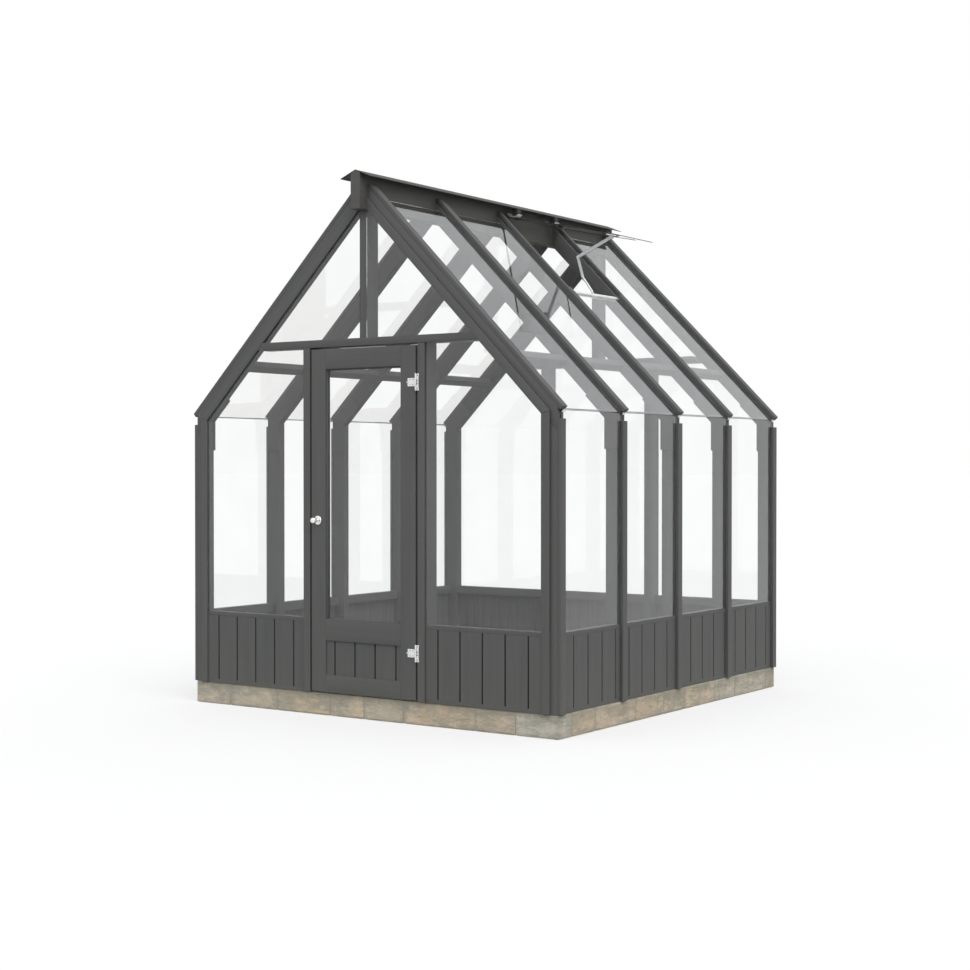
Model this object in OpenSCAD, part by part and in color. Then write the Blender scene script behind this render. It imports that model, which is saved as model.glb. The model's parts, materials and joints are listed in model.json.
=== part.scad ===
// Timber greenhouse on a stone plinth, with glass walls, a boarded dado and a 45 degree glass roof.
// X runs across the gable, Y runs along the ridge with the door in the -Y gable, Z is up.
// The origin is the middle of the stone plinth, on the ground.

/* [Plinth] */
// Width of the stone plinth across the gable
plinth_w = 2400; // [2200:10:2600]
// Length of the stone plinth along the ridge
plinth_l = 2430; // [2200:10:2700]
// Height of the plinth
plinth_h = 120; // [100:5:160]
// Thickness of the plinth seen from above
plinth_t = 120; // [100:5:150]

/* [Timber frame] */
// Thickness of every frame timber
timber_t = 45; // [40:1:50]
// Face width of the side posts and the rafters
timber_w = 84; // [75:1:95]
// Depth of the studs and ties in the gables
stud_d = 95; // [85:1:100]
// How far the outer faces of the side posts stand inside the plinth
post_inset = 10; // [5:1:20]
// Number of bays along each side
bays = 4; // [3:1:6]
// Height at which the top faces of the two slopes would meet
ridge_line_z = 2800; // [2700:10:2900]
// Thickness of the ridge beam
ridge_t = 61; // [50:1:70]
// Height of the ridge beam's lower face
ridge_low_z = 2653; // [2600:1:2660]
// Height of the folded edge of the ridge cap
cap_z = 2856; // [2850:1:2900]
// Half width of the ridge cap
cap_half_w = 98; // [80:1:120]
// How far the ridge beam stands out past the gables
ridge_overhang = 72; // [60:1:90]
// Height of the tie beams' upper faces
tie_top_z = 1991; // [1960:1:2000]
// Height of the tie beams
tie_h = 40; // [35:1:45]

/* [Glazing] */
// Thickness of the glass
glass_t = 4; // [3:1:6]
// Height of the upper edge of the sills
sill_z = 516; // [480:1:560]
// Thickness of the battens that hold the side glass
batten_t = 17; // [14:1:22]
// Thickness of the battens that hold the roof glass
roof_batten_t = 20.5; // [18:0.5:21]
// Thickness of the battens on the gables
gable_batten_t = 9; // [8:1:14]
// Where the lower edge of the roof glass lies, from the middle
eave_glass_x = 1206; // [1200:1:1215]
// Thickness of the dado boarding
board_t = 16; // [12:1:20]

/* [Door] */
// Half width of the door leaf
door_half_w = 345; // [340:1:348]
// Height of the leaf's upper edge
door_top_z = 1941; // [1935:1:1944]
// Gap between the plinth and the leaf
door_gap_z = 8; // [6:1:12]
// Thickness of the leaf
door_t = 42; // [38:1:45]
// Width of the stiles
stile_w = 96; // [90:1:110]
// Where the door posts' inner faces stand, from the middle
door_post_x = 357; // [356:1:362]

/* [Hidden] */

slope = 45;
// Every surface on the roof stands this much higher for each unit of its own thickness
lift = 1 / cos(slope);
post_x = plinth_w / 2 - post_inset;
post_in_x = post_x - timber_w;
gable_y = plinth_l / 2;
bay = (plinth_l - timber_t) / bays;
rafter_low_z = ridge_line_z - timber_w * lift;
frame_ys = [for (i = [0 : bays]) -gable_y + timber_t / 2 + i * bay];
tie_low_z = tie_top_z - tie_h;
sill_drop = 23;
sill_h = 50;
door_post_out_x = door_post_x + timber_t;
door_face_y = -gable_y - glass_t - gable_batten_t;
door_low_z = plinth_h + door_gap_z;
stile_x = door_half_w - stile_w;
top_rail_z = 1835;
mid_rail_z = 512;
mid_rail_h = 112;
low_rail_h = 90;
centre_t = 44;
pane_gap = 4;
board_joint = 1;
rebate = 18;
cap_t = 3;
cap_drop = 40;
purlin_x = 810;
vent_bay = 2;
vent_low_x = 487;
vent_top_x = 80;
vent_top_z = 2757;
vent_l = 644;
vent_angle = 11.8;
rail_gap = 0.5;
vent_mid_y = frame_ys[vent_bay] + bay / 2;
hinge_zs = [368, 1751];
hinge_x = (door_half_w + door_post_x) / 2;
hinge_r = 5;
hinge_y = door_face_y - hinge_r - 2;
leaf_t = 3;
barrel_h = 28;
strap_gap = 5;
knob_x = -302;
knob_z = 1036;

grey = [0.30, 0.31, 0.31];
sandstone = [0.72, 0.64, 0.52];
clear_glass = [0.85, 0.92, 0.93, 0.35];
bright_metal = [0.85, 0.86, 0.88];
dark_metal = [0.12, 0.12, 0.12];

// Height of a roof surface that lies off above the rafters' top faces
function roof_z(x, off = 0) = ridge_line_z - x * tan(slope) + off * lift;

// Carries an outline drawn in X and Z along Y
module along_y(y0, y1) {
    translate([0, y1, 0]) rotate([90, 0, 0]) linear_extrude(y1 - y0) children();
}

// A block between two corners
module block(low, high) {
    translate(low) cube(high - low);
}

// The same piece on the right and on the left
module both_sides() {
    children();
    mirror([1, 0, 0]) children();
}

// A strip on the right slope, square to it at its lower end
module roof_strip(x0, x1, off, t) {
    d = t * cos(slope);
    polygon([[x0, roof_z(x0, off)], [x1, roof_z(x1, off)],
        [x1 + d, roof_z(x1, off) + d], [x0 + d, roof_z(x0, off) + d]]);
}

// Lengths of plinth under the two gables
module plinth_ends() {
    color(sandstone) for (s = [-1, 1])
        translate([0, s * (plinth_l - plinth_t) / 2, plinth_h / 2])
            cube([plinth_w, plinth_t, plinth_h], center = true);
}

// Lengths of plinth under the two long sides, between the end ones
module plinth_sides() {
    color(sandstone) for (s = [-1, 1])
        translate([s * (plinth_w - plinth_t) / 2, 0, plinth_h / 2])
            cube([plinth_t, plinth_l - 2 * plinth_t, plinth_h], center = true);
}

// The right wall's posts, cut to the slope of the rafters
module posts() {
    for (y = frame_ys) along_y(y - timber_t / 2, y + timber_t / 2)
        polygon([[post_in_x, plinth_h], [post_x, plinth_h],
            [post_x, rafter_low_z - post_x], [post_in_x, rafter_low_z - post_in_x]]);
}

module left_posts() {
    color(grey) mirror([1, 0, 0]) posts();
}

module right_posts() {
    color(grey) posts();
}

// The right slope's rafters, from the ridge beam to the outer faces of the posts
module rafters() {
    for (y = frame_ys) along_y(y - timber_t / 2, y + timber_t / 2)
        polygon([[ridge_t / 2, rafter_low_z - ridge_t / 2], [post_x, rafter_low_z - post_x],
            [post_x, roof_z(post_x)], [ridge_t / 2, roof_z(ridge_t / 2)]]);
}

module left_rafters() {
    color(grey) mirror([1, 0, 0]) rafters();
}

module right_rafters() {
    color(grey) rafters();
}

// Plates that tie each post to its rafter, on the inner face of the front frame
// and on the front faces of the others
module knee_plates() {
    plate_t = 10;
    plate_edge = 4;
    leg = 160;
    knee_x = post_in_x - plate_edge;
    knee_z = rafter_low_z - post_in_x - plate_edge;
    run = leg * cos(slope);
    outer = post_x - 2;
    plate_w = (timber_w + plate_edge - 2) * cos(slope);
    color(grey) both_sides() for (y = frame_ys) {
        face = y == frame_ys[0] ? y + timber_t / 2 : y - timber_t / 2 - plate_t;
        along_y(face, face + plate_t)
            polygon([[knee_x, knee_z - leg], [outer, knee_z - leg], [outer, roof_z(outer, -2)],
                [knee_x - run + plate_w, roof_z(knee_x - run + plate_w, -2)],
                [knee_x - run, knee_z + run], [knee_x, knee_z]]);
    }
}

// Purlins between the rafters, flush with their lower faces
module purlins() {
    d = timber_t * cos(slope);
    color(grey) both_sides() for (i = [0 : bays - 1])
        along_y(frame_ys[i] + timber_t / 2, frame_ys[i + 1] - timber_t / 2)
            translate([purlin_x, rafter_low_z - purlin_x])
                polygon([[-d / 2, d / 2], [d / 2, -d / 2], [d * 1.5, d / 2], [d / 2, d * 1.5]]);
}

// Ridge beam, its top edges cut to lie under the cap
module ridge_beam() {
    top = cap_z - cap_t;
    edge = top - cap_drop * ridge_t / 2 / cap_half_w;
    color(grey) along_y(-gable_y - ridge_overhang, gable_y + ridge_overhang)
        polygon([[-ridge_t / 2, ridge_low_z], [ridge_t / 2, ridge_low_z], [ridge_t / 2, edge],
            [0, top], [-ridge_t / 2, edge]]);
}

// Folded sheet over the ridge
module ridge_cap() {
    color(dark_metal) along_y(-gable_y - ridge_overhang, gable_y + ridge_overhang)
        polygon([[-cap_half_w, cap_z - cap_drop], [0, cap_z], [cap_half_w, cap_z - cap_drop],
            [cap_half_w, cap_z - cap_drop - cap_t], [0, cap_z - cap_t],
            [-cap_half_w, cap_z - cap_drop - cap_t]]);
}

// A tie beam's outline, its ends cut to a slope that meets the middle at edge_z
module tie_outline(edge_z) {
    low_x = edge_z - tie_low_z;
    top_x = edge_z - tie_top_z;
    polygon([[-low_x, tie_low_z], [low_x, tie_low_z], [top_x, tie_top_z], [-top_x, tie_top_z]]);
}

// A tie beam across a gable, between the undersides of the rafters
module tie_beam() {
    along_y(-gable_y, -gable_y + stud_d) tie_outline(rafter_low_z);
}

module front_tie_beam() {
    color(grey) tie_beam();
}

module back_tie_beam() {
    color(grey) mirror([0, 1, 0]) tie_beam();
}

// Post from the tie beam to the ridge beam
module king_post() {
    block([-centre_t / 2, -gable_y - glass_t, tie_top_z], [centre_t / 2, -gable_y + stud_d, ridge_low_z]);
}

module front_king_post() {
    color(grey) king_post();
}

// The two posts that stand under the tie beam of a gable
module gable_posts() {
    both_sides() block([door_post_x, -gable_y, plinth_h], [door_post_out_x, -gable_y + stud_d, tie_low_z]);
}

module door_posts() {
    color(grey) gable_posts();
}

// The back gable's king post, and posts like those of the door
module back_posts() {
    color(grey) mirror([0, 1, 0]) {
        king_post();
        gable_posts();
    }
}

// A sill, rebated over the top of the boarding and flush with it outside, drawn with its
// outer face towards -Y
module sill(x0, x1) {
    back_y = board_t - glass_t;
    translate([x0, 0, 0]) rotate([90, 0, 90]) linear_extrude(x1 - x0)
        polygon([[-glass_t, sill_z - sill_drop], [back_y, sill_z - sill_drop], [back_y, sill_z - sill_h],
            [timber_t, sill_z - sill_h], [timber_t, sill_z], [-glass_t, sill_z]]);
}

module front_sills() {
    color(grey) both_sides() translate([0, -gable_y, 0]) sill(door_post_out_x, post_in_x);
}

module back_sills() {
    color(grey) mirror([0, 1, 0]) translate([0, -gable_y, 0]) {
        both_sides() sill(door_post_out_x, post_in_x);
        sill(-door_post_x, door_post_x);
    }
}

module side_sills() {
    color(grey) both_sides() for (i = [0 : bays - 1])
        translate([post_x, 0, 0]) rotate([0, 0, 90])
            sill(frame_ys[i] + timber_t / 2, frame_ys[i + 1] - timber_t / 2);
}

module front_boarding() {
    y = -gable_y - glass_t;
    color(grey) both_sides()
        block([door_post_out_x, y, plinth_h], [post_in_x, y + board_t, sill_z - sill_drop]);
}

module back_boarding() {
    y = gable_y + glass_t;
    color(grey) {
        both_sides() block([door_post_out_x, y - board_t, plinth_h], [post_in_x, y, sill_z - sill_drop]);
        block([-door_post_x, y - board_t, plinth_h], [door_post_x, y, sill_z - sill_drop]);
    }
}

// The right wall's dado boarding, one panel a bay
module side_boarding() {
    x = post_x + glass_t;
    for (i = [0 : bays - 1])
        block([x - board_t, frame_ys[i] + timber_t / 2, plinth_h],
            [x, frame_ys[i + 1] - timber_t / 2, sill_z - sill_drop]);
}

module left_boarding() {
    color(grey) mirror([1, 0, 0]) side_boarding();
}

module right_boarding() {
    color(grey) side_boarding();
}

// A gable window pane on the outer faces of the frame, from x0 out to the corner post
module window_pane(x0) {
    x1 = post_in_x + rebate;
    top = tie_low_z + rebate;
    edge = rafter_low_z + rebate;
    along_y(-gable_y - glass_t, -gable_y)
        polygon([[x0, sill_z], [x1, sill_z], [x1, edge - x1], [edge - top, top], [x0, top]]);
}

module front_windows() {
    color(clear_glass) both_sides() window_pane(door_post_out_x - rebate);
}

module back_windows() {
    x = door_post_x + rebate;
    color(clear_glass) mirror([0, 1, 0]) {
        both_sides() window_pane(door_post_out_x - rebate);
        block([-x, -gable_y - glass_t, sill_z], [x, -gable_y, tie_low_z + rebate]);
    }
}

// The panes above the tie beam, between the king post and the rafters, cut off under the ridge beam
module gable_panes() {
    low = tie_top_z - rebate + pane_gap;
    top = ridge_low_z - pane_gap;
    edge = rafter_low_z + rebate;
    side = centre_t / 2 + board_joint;
    both_sides() along_y(-gable_y - glass_t, -gable_y)
        polygon([[side, low], [edge - low, low], [edge - top, top], [side, top]]);
}

module front_gable_glass() {
    color(clear_glass) gable_panes();
}

module back_gable_glass() {
    color(clear_glass) mirror([0, 1, 0]) gable_panes();
}

// The battens over the glass on a gable: mitred boards up each corner post and rafter,
// one across the tie and one up each post, all packed out below the glass
module gable_battens() {
    uprights_x = [-door_post_out_x, door_post_x];
    outer = post_in_x + timber_t;
    band = timber_t * lift;
    foot = ridge_t / 2;
    low_z = rafter_low_z - board_joint;
    along_y(-gable_y - glass_t - gable_batten_t, -gable_y - glass_t) {
        both_sides() {
            polygon([[post_in_x, plinth_h], [outer, plinth_h], [outer, low_z + band - outer],
                [post_in_x, low_z - post_in_x]]);
            polygon([[post_in_x, rafter_low_z - post_in_x], [outer, rafter_low_z + band - outer],
                [foot, rafter_low_z + band - foot], [foot, rafter_low_z - foot]]);
        }
        for (x = uprights_x) translate([x, plinth_h]) square([timber_t, tie_low_z - plinth_h - board_joint]);
        tie_outline(low_z);
    }
    along_y(-gable_y - glass_t, -gable_y) {
        both_sides() translate([post_in_x, plinth_h]) square([timber_t, sill_z - plinth_h]);
        for (x = uprights_x) translate([x, plinth_h]) square([timber_t, sill_z - plinth_h]);
    }
}

module front_battens() {
    color(grey) gable_battens();
}

module back_battens() {
    color(grey) mirror([0, 1, 0]) gable_battens();
}

// Right wall panes, one a bay, on the outer faces of the posts
module wall_panes() {
    for (i = [0 : bays - 1])
        block([post_x, frame_ys[i] + pane_gap / 2, sill_z],
            [post_x + glass_t, frame_ys[i + 1] - pane_gap / 2, roof_z(post_x + glass_t)]);
}

module left_wall_glass() {
    color(clear_glass) mirror([1, 0, 0]) wall_panes();
}

module right_wall_glass() {
    color(clear_glass) wall_panes();
}

// Upright battens over the side posts, from the plinth to just under the eaves, packed out
// below the glass, and beyond it at the gables
module wall_battens() {
    top = 1554;
    x = post_x + glass_t;
    color(grey) both_sides() {
        for (y = frame_ys) {
            block([x, y - timber_t / 2, plinth_h], [x + batten_t, y + timber_t / 2, top]);
            block([post_x, y - timber_t / 2, plinth_h], [x, y + timber_t / 2, sill_z]);
        }
        for (y = [-gable_y, gable_y - timber_t / 2])
            block([post_x, y, sill_z], [x, y + timber_t / 2, top]);
    }
}

// A pane of roof glass in bay i, from x0 at the top to the eave
module roof_pane(i, x0) {
    along_y(frame_ys[i] + pane_gap / 2, frame_ys[i + 1] - pane_gap / 2)
        roof_strip(x0, eave_glass_x, 0, glass_t);
}

module left_roof_glass() {
    color(clear_glass) mirror([1, 0, 0]) for (i = [0 : bays - 1]) roof_pane(i, cap_half_w);
}

module right_roof_glass() {
    color(clear_glass) for (i = [0 : bays - 1]) roof_pane(i, i == vent_bay ? vent_low_x : cap_half_w);
}

// Battens over the rafters from frame first to frame last, holding the roof glass
module slope_battens(first, last) {
    for (i = [first : last]) along_y(frame_ys[i] - timber_t / 2, frame_ys[i] + timber_t / 2)
        roof_strip(ridge_t / 2, eave_glass_x, glass_t, roof_batten_t);
}

// The battens of one slope are packed out beyond the glass at the gables. Beside the roof vent
// they are cut to half their width, so that its pane can lift
module roof_battens() {
    color(grey) {
        both_sides() for (y = [-gable_y, gable_y - timber_t / 2]) along_y(y, y + timber_t / 2)
            roof_strip(ridge_t / 2, eave_glass_x - glass_t * cos(slope), 0, glass_t + roof_batten_t);
        mirror([1, 0, 0]) slope_battens(0, bays);
        slope_battens(0, vent_bay - 1);
        slope_battens(vent_bay + 2, bays);
        for (i = [vent_bay, vent_bay + 1]) {
            near = i == vent_bay ? frame_ys[i] - timber_t / 2 : frame_ys[i];
            along_y(frame_ys[i] - timber_t / 2, frame_ys[i] + timber_t / 2)
                roof_strip(vent_low_x, eave_glass_x, glass_t, roof_batten_t);
            along_y(near, near + timber_t / 2) roof_strip(ridge_t / 2, eave_glass_x, glass_t, roof_batten_t);
        }
    }
}

// Rail across the lower edge of the roof vent, just under the glass
module vent_crossbar() {
    rail_t = 20;
    color(bright_metal) along_y(frame_ys[vent_bay] + timber_t / 2, frame_ys[vent_bay + 1] - timber_t / 2)
        roof_strip(vent_low_x - 22, vent_low_x - 6, -rail_t - rail_gap, rail_t);
}

// Draws in the plane of the open vent: x runs down the pane from its hinges
module on_vent() {
    translate([vent_top_x, 0, vent_top_z]) rotate([0, vent_angle, 0]) children();
}

// Vent pane, standing open
module vent_glass() {
    color(clear_glass) on_vent()
        block([0, frame_ys[vent_bay] + 6, 0], [vent_l, frame_ys[vent_bay + 1] - 6, glass_t]);
}

// Two dark hinges from the ridge beam to the top edge of the vent pane
module vent_hinges() {
    hinge_w = 50;
    color(dark_metal) for (s = [-1, 1]) translate([0, vent_mid_y + s * 203 - hinge_w / 2, 0]) {
        on_vent() block([-2, 0, -4], [40, hinge_w, 0]);
        block([ridge_t / 2, 0, vent_top_z - 8], [vent_top_x, hinge_w, vent_top_z - 2]);
        block([ridge_t / 2, 0, vent_top_z - 8], [ridge_t / 2 + 4, hinge_w, vent_top_z + 40]);
    }
}

// A flat bar of width w between two points of a plane across the greenhouse
module link(a, b, w) {
    bar_t = 4;
    d = b - a;
    translate([a[0], 0, a[1]]) rotate([0, -atan2(d[1], d[0]), 0])
        translate([0, -bar_t / 2, -w / 2]) cube([norm(d), bar_t, w]);
}

// Automatic opener: a slim body on the crossbar, two lower arms, and a long upper arm to a lug
// under the pane
module vent_opener() {
    knee = [413, 2418];
    elbow = [379, 2536];
    body_w = 12;
    arm_w = 9;
    upper_w = 18;
    foot_x = vent_low_x - 7;
    foot_w = 5.5;
    lug_x = 538;
    lug_z = -12;
    lug_w = 9;
    head = [vent_top_x + lug_x * cos(vent_angle) + lug_z * sin(vent_angle),
        vent_top_z - lug_x * sin(vent_angle) + lug_z * cos(vent_angle)];
    color(bright_metal) translate([0, vent_mid_y, 0]) {
        along_y(-body_w / 2, body_w / 2)
            polygon([[foot_x, roof_z(foot_x, -rail_gap)],
                [foot_x + foot_w, roof_z(foot_x + foot_w, -rail_gap)],
                knee + [6, 6], knee + [-5, 5], knee + [-6, -4]]);
        for (s = [-1, 1]) translate([0, s * (body_w / 2 + 2), 0]) link(knee, elbow, arm_w);
        translate([elbow[0], body_w / 2, elbow[1]]) rotate([90, 0, 0]) cylinder(r = 7, h = body_w, $fn = 32);
        link(elbow, head, upper_w);
        on_vent() {
            block([lug_x - 30, -14, -4], [lug_x + 20, 14, 0]);
            block([lug_x - lug_w, -lug_w, lug_z - lug_w], [lug_x + lug_w, lug_w, -4]);
        }
    }
}

// Upright hinge leaves on the right door post's batten, each with an upper and a lower barrel
module hinge_plates() {
    color(bright_metal) for (z = hinge_zs) {
        block([hinge_x + strap_gap, door_face_y - leaf_t, z - 3 * barrel_h / 2],
            [hinge_x + 17, door_face_y, z + 3 * barrel_h / 2]);
        for (low = [z - 3 * barrel_h / 2, z + barrel_h / 2]) {
            translate([hinge_x, hinge_y, low]) cylinder(r = hinge_r, h = barrel_h, $fn = 32);
            block([hinge_x, door_face_y - leaf_t, low], [hinge_x + strap_gap, door_face_y, low + barrel_h]);
        }
    }
}

module door_stiles() {
    color(grey) both_sides()
        block([stile_x, door_face_y, door_low_z], [door_half_w, door_face_y + door_t, door_top_z]);
}

// Top rail, middle rail and bottom rail of the door
module door_rails() {
    color(grey) for (z = [[top_rail_z, door_top_z], [mid_rail_z - mid_rail_h, mid_rail_z],
            [door_low_z, door_low_z + low_rail_h]])
        block([-stile_x, door_face_y, z[0]], [stile_x, door_face_y + door_t, z[1]]);
}

module door_boarding() {
    inset = 8;
    color(grey) block([-stile_x, door_face_y + inset, door_low_z + low_rail_h],
        [stile_x, door_face_y + inset + board_t, mid_rail_z - mid_rail_h]);
}

module door_glass() {
    y = door_face_y + door_t / 2;
    color(clear_glass) block([-stile_x, y - glass_t / 2, mid_rail_z], [stile_x, y + glass_t / 2, top_rail_z]);
}

// Turned ball knob on a round rose
module door_knob() {
    rose_r = 24.5;
    neck_r = 8;
    ball_r = 17.5;
    ball_out = 34;
    color(bright_metal) translate([knob_x, door_face_y, knob_z]) rotate([90, 0, 0]) rotate_extrude($fn = 48)
        polygon(concat([[0, 0], [rose_r, 0], [rose_r, 2], [rose_r - 3, 5], [neck_r + 2, 7], [neck_r, 10]],
            [for (a = [-60 : 15 : 90]) [ball_r * cos(a), ball_out + ball_r * sin(a)]]));
}

// Flat straps across the right stile, each with the middle barrel of its hinge
module door_straps() {
    strap_h = barrel_h - 2;
    leaf_h = 42;
    color(bright_metal) for (z = hinge_zs) {
        block([hinge_x - 61, door_face_y - leaf_t, z - leaf_h / 2],
            [hinge_x - 11, door_face_y, z + leaf_h / 2]);
        block([hinge_x - 11, door_face_y - leaf_t, z - strap_h / 2],
            [hinge_x, door_face_y, z + strap_h / 2]);
        translate([hinge_x, hinge_y, z - strap_h / 2]) cylinder(r = hinge_r, h = strap_h, $fn = 32);
    }
}

plinth_ends();
plinth_sides();
left_posts();
right_posts();
left_rafters();
right_rafters();
knee_plates();
purlins();
ridge_beam();
ridge_cap();
front_tie_beam();
front_king_post();
door_posts();
front_sills();
front_boarding();
front_windows();
front_gable_glass();
front_battens();
back_tie_beam();
back_posts();
back_sills();
back_boarding();
back_windows();
back_gable_glass();
back_battens();
side_sills();
left_boarding();
right_boarding();
left_wall_glass();
right_wall_glass();
wall_battens();
left_roof_glass();
right_roof_glass();
roof_battens();
vent_crossbar();
vent_glass();
vent_hinges();
vent_opener();
hinge_plates();
door_stiles();
door_rails();
door_boarding();
door_glass();
door_knob();
door_straps();
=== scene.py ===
import json
import math

import bpy
import numpy as np
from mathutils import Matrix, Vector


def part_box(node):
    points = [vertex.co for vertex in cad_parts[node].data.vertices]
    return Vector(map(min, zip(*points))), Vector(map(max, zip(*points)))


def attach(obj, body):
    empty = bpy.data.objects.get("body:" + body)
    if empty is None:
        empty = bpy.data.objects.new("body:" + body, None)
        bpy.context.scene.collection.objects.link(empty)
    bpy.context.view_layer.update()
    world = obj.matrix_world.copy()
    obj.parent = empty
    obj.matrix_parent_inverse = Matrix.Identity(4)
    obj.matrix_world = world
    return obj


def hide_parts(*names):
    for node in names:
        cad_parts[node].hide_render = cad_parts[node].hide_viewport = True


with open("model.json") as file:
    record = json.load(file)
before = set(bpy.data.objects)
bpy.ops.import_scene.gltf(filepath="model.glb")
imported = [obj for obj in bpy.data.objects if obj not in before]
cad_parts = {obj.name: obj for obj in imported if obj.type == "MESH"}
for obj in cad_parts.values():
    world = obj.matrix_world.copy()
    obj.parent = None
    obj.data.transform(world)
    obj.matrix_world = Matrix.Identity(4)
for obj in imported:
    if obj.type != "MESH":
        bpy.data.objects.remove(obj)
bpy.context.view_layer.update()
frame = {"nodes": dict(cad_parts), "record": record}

# ---- Camera ----
# It stands at eye level off the right front corner, level but for a slight tilt down, and takes in
# the door gable and one side.
lens = bpy.data.cameras.new("camera")
lens.lens = 63.575
lens.sensor_width = 36
lens.clip_end = 600
camera = bpy.data.objects.new("camera", lens)
camera.location = (5.5821, -8.2114, 1.3290)
camera.rotation_euler = (math.radians(90 - 0.67), 0, math.radians(34.54))
bpy.context.scene.collection.objects.link(camera)
bpy.context.scene.camera = camera
bpy.context.scene.view_settings.view_transform = "Standard"

# ---- Ground, sky and lamps ----
# A pale studio ground that runs out to a white sky. The eye, gloss and glass see both as white;
# the light that they throw on the building is that of an overcast day over darker ground.


def new_node(tree, kind, links=(), **values):
    """Adds a node to a tree, sets its values and links its inputs from sockets."""
    node = tree.nodes.new("ShaderNode" + kind)
    for key, value in values.items():
        key = key.replace("_", " ") if key.replace("_", " ") in node.inputs else key
        if key in node.inputs:
            node.inputs[key].default_value = value
        else:
            setattr(node, key, value)
    for key, source in dict(links).items():
        tree.links.new(source, node.inputs[key])
    return node


def sums(how, *sources):
    """Values joined by one kind of arithmetic. The first is a socket, the rest sockets or numbers."""
    total = sources[0]
    for source in sources[1:]:
        node = new_node(total.id_data, "Math", {0: total}, operation=how)
        if isinstance(source, bpy.types.NodeSocket):
            node.id_data.links.new(source, node.inputs[1])
        else:
            node.inputs[1].default_value = source
        total = node.outputs[0]
    return total


def stretch(source, low, high, to_low=0, to_high=1):
    """Maps a value from low..high to to_low..to_high, and holds it there."""
    return new_node(source.id_data, "MapRange", {"Value": source}, From_Min=low, From_Max=high,
                    To_Min=to_low, To_Max=to_high).outputs[0]


def height_of(place):
    """The Z of a place."""
    return new_node(place.id_data, "SeparateXYZ", {0: place}).outputs["Z"]


def seen_directly(tree, other, direct):
    """Joins two shaders. The second is for rays from the eye and those it sends on through gloss
    or glass; the first is for the rest."""
    path = new_node(tree, "LightPath").outputs
    seen = sums("ADD", path["Is Camera Ray"], path["Is Glossy Ray"], path["Is Transmission Ray"])
    unbounced = sums("LESS_THAN", path["Diffuse Depth"], 0.5)
    share = sums("MULTIPLY", seen, unbounced)
    return new_node(tree, "MixShader", {0: share, 1: other.outputs[0], 2: direct.outputs[0]}).outputs[0]


ground_reach = 200
ground_pale, ground_dark = (0.93, 0.93, 0.93, 1), (0.24, 0.24, 0.23, 1)
ground_glow = 0.55
corners = ((-1, -1), (1, -1), (1, 1), (-1, 1))
ground_mesh = bpy.data.meshes.new("ground")
ground_mesh.from_pydata([(x * ground_reach, y * ground_reach, 0) for x, y in corners], [], [(0, 1, 2, 3)])
ground = bpy.data.objects.new("ground", ground_mesh)
bpy.context.scene.collection.objects.link(ground)
ground_look = bpy.data.materials.new("pale_ground")
ground_look.use_nodes = True
tree = ground_look.node_tree
tree.nodes.clear()
white = new_node(tree, "BsdfDiffuse", Color=ground_pale)
glow = new_node(tree, "Emission", Strength=1)
bright = new_node(tree, "MixShader", {1: white.outputs[0], 2: glow.outputs[0]}, Fac=ground_glow)
darker = new_node(tree, "BsdfDiffuse", Color=ground_dark)
new_node(tree, "OutputMaterial", {0: seen_directly(tree, darker, bright)})
ground_mesh.materials.append(ground_look)

world = bpy.data.worlds.new("sky")
bpy.context.scene.world = world
world.use_nodes = True
tree = world.node_tree
tree.nodes.clear()
height = height_of(new_node(tree, "TexCoord").outputs["Generated"])
day = new_node(tree, "Background", {"Strength": stretch(height, -0.1, 1, 0.62, 0.95)},
               Color=(0.98, 0.99, 1.0, 1))
blank = new_node(tree, "Background", Color=(1, 1, 1, 1))
new_node(tree, "OutputWorld", {0: seen_directly(tree, day, blank)})

for name, power, spread, up, around in (
        ("key_lamp", 0.9, 40, 46, 62),
        ("fill_lamp", 0.35, 80, 35, 8)):
    glow = bpy.data.lights.new(name, "SUN")
    glow.energy = power
    glow.angle = math.radians(spread)
    lamp = bpy.data.objects.new(name, glow)
    lamp.rotation_euler = (math.radians(90 - up), 0, math.radians(around))
    bpy.context.scene.collection.objects.link(lamp)

# ---- Stone plinth ----
# One course of weathered sandstone blocks, rough on the face, bedded and pointed in grey lime
# mortar. The blocks are of random lengths and tints, and are darker towards their upper edges.
plinth_low, plinth_high = (np.array(v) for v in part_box("plinth_ends"))
plinth_t = plinth_high[1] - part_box("plinth_sides")[1][1]
joint_w = 0.004
bed_gap = 0.0005
stone_edge = 0.006
stone_rough = 0.0012
stone_mean, stone_short, stone_long = 0.31, 0.20, 0.42
stone_draws = np.random.default_rng(11)


def grid_faces(rows, columns, first=0):
    """Quads of a grid of points that is stored row by row."""
    r, c = np.meshgrid(np.arange(rows - 1), np.arange(columns - 1), indexing="ij")
    a = (first + r * columns + c).ravel()
    return np.stack([a, a + columns, a + columns + 1, a + 1], 1)


def new_piece(name, points, faces, body="greenhouse"):
    """A mesh object of these points and faces, riding on a body, smooth except at its arrises."""
    mesh = bpy.data.meshes.new(name)
    mesh.from_pydata(points.tolist(), [], faces if isinstance(faces, list) else faces.tolist())
    mesh.shade_smooth()
    mesh.set_sharp_from_angle(angle=math.radians(38))
    piece = bpy.data.objects.new(name, mesh)
    bpy.context.scene.collection.objects.link(piece)
    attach(piece, body)
    return piece


def point_values(piece, name, values):
    """A number for each point, which the material reads by its name."""
    layer = piece.data.attributes.new(name, "FLOAT", "POINT")
    layer.data.foreach_set("value", np.asarray(values, np.float32))


def soft_waves(p, draws, scale):
    """The mean of five sines of p along random ways of this scale."""
    ways = draws.normal(size=(5, 3)) * scale
    return np.sin(p @ ways.T + draws.uniform(0, 6.28, 5)).mean(1)


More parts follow.
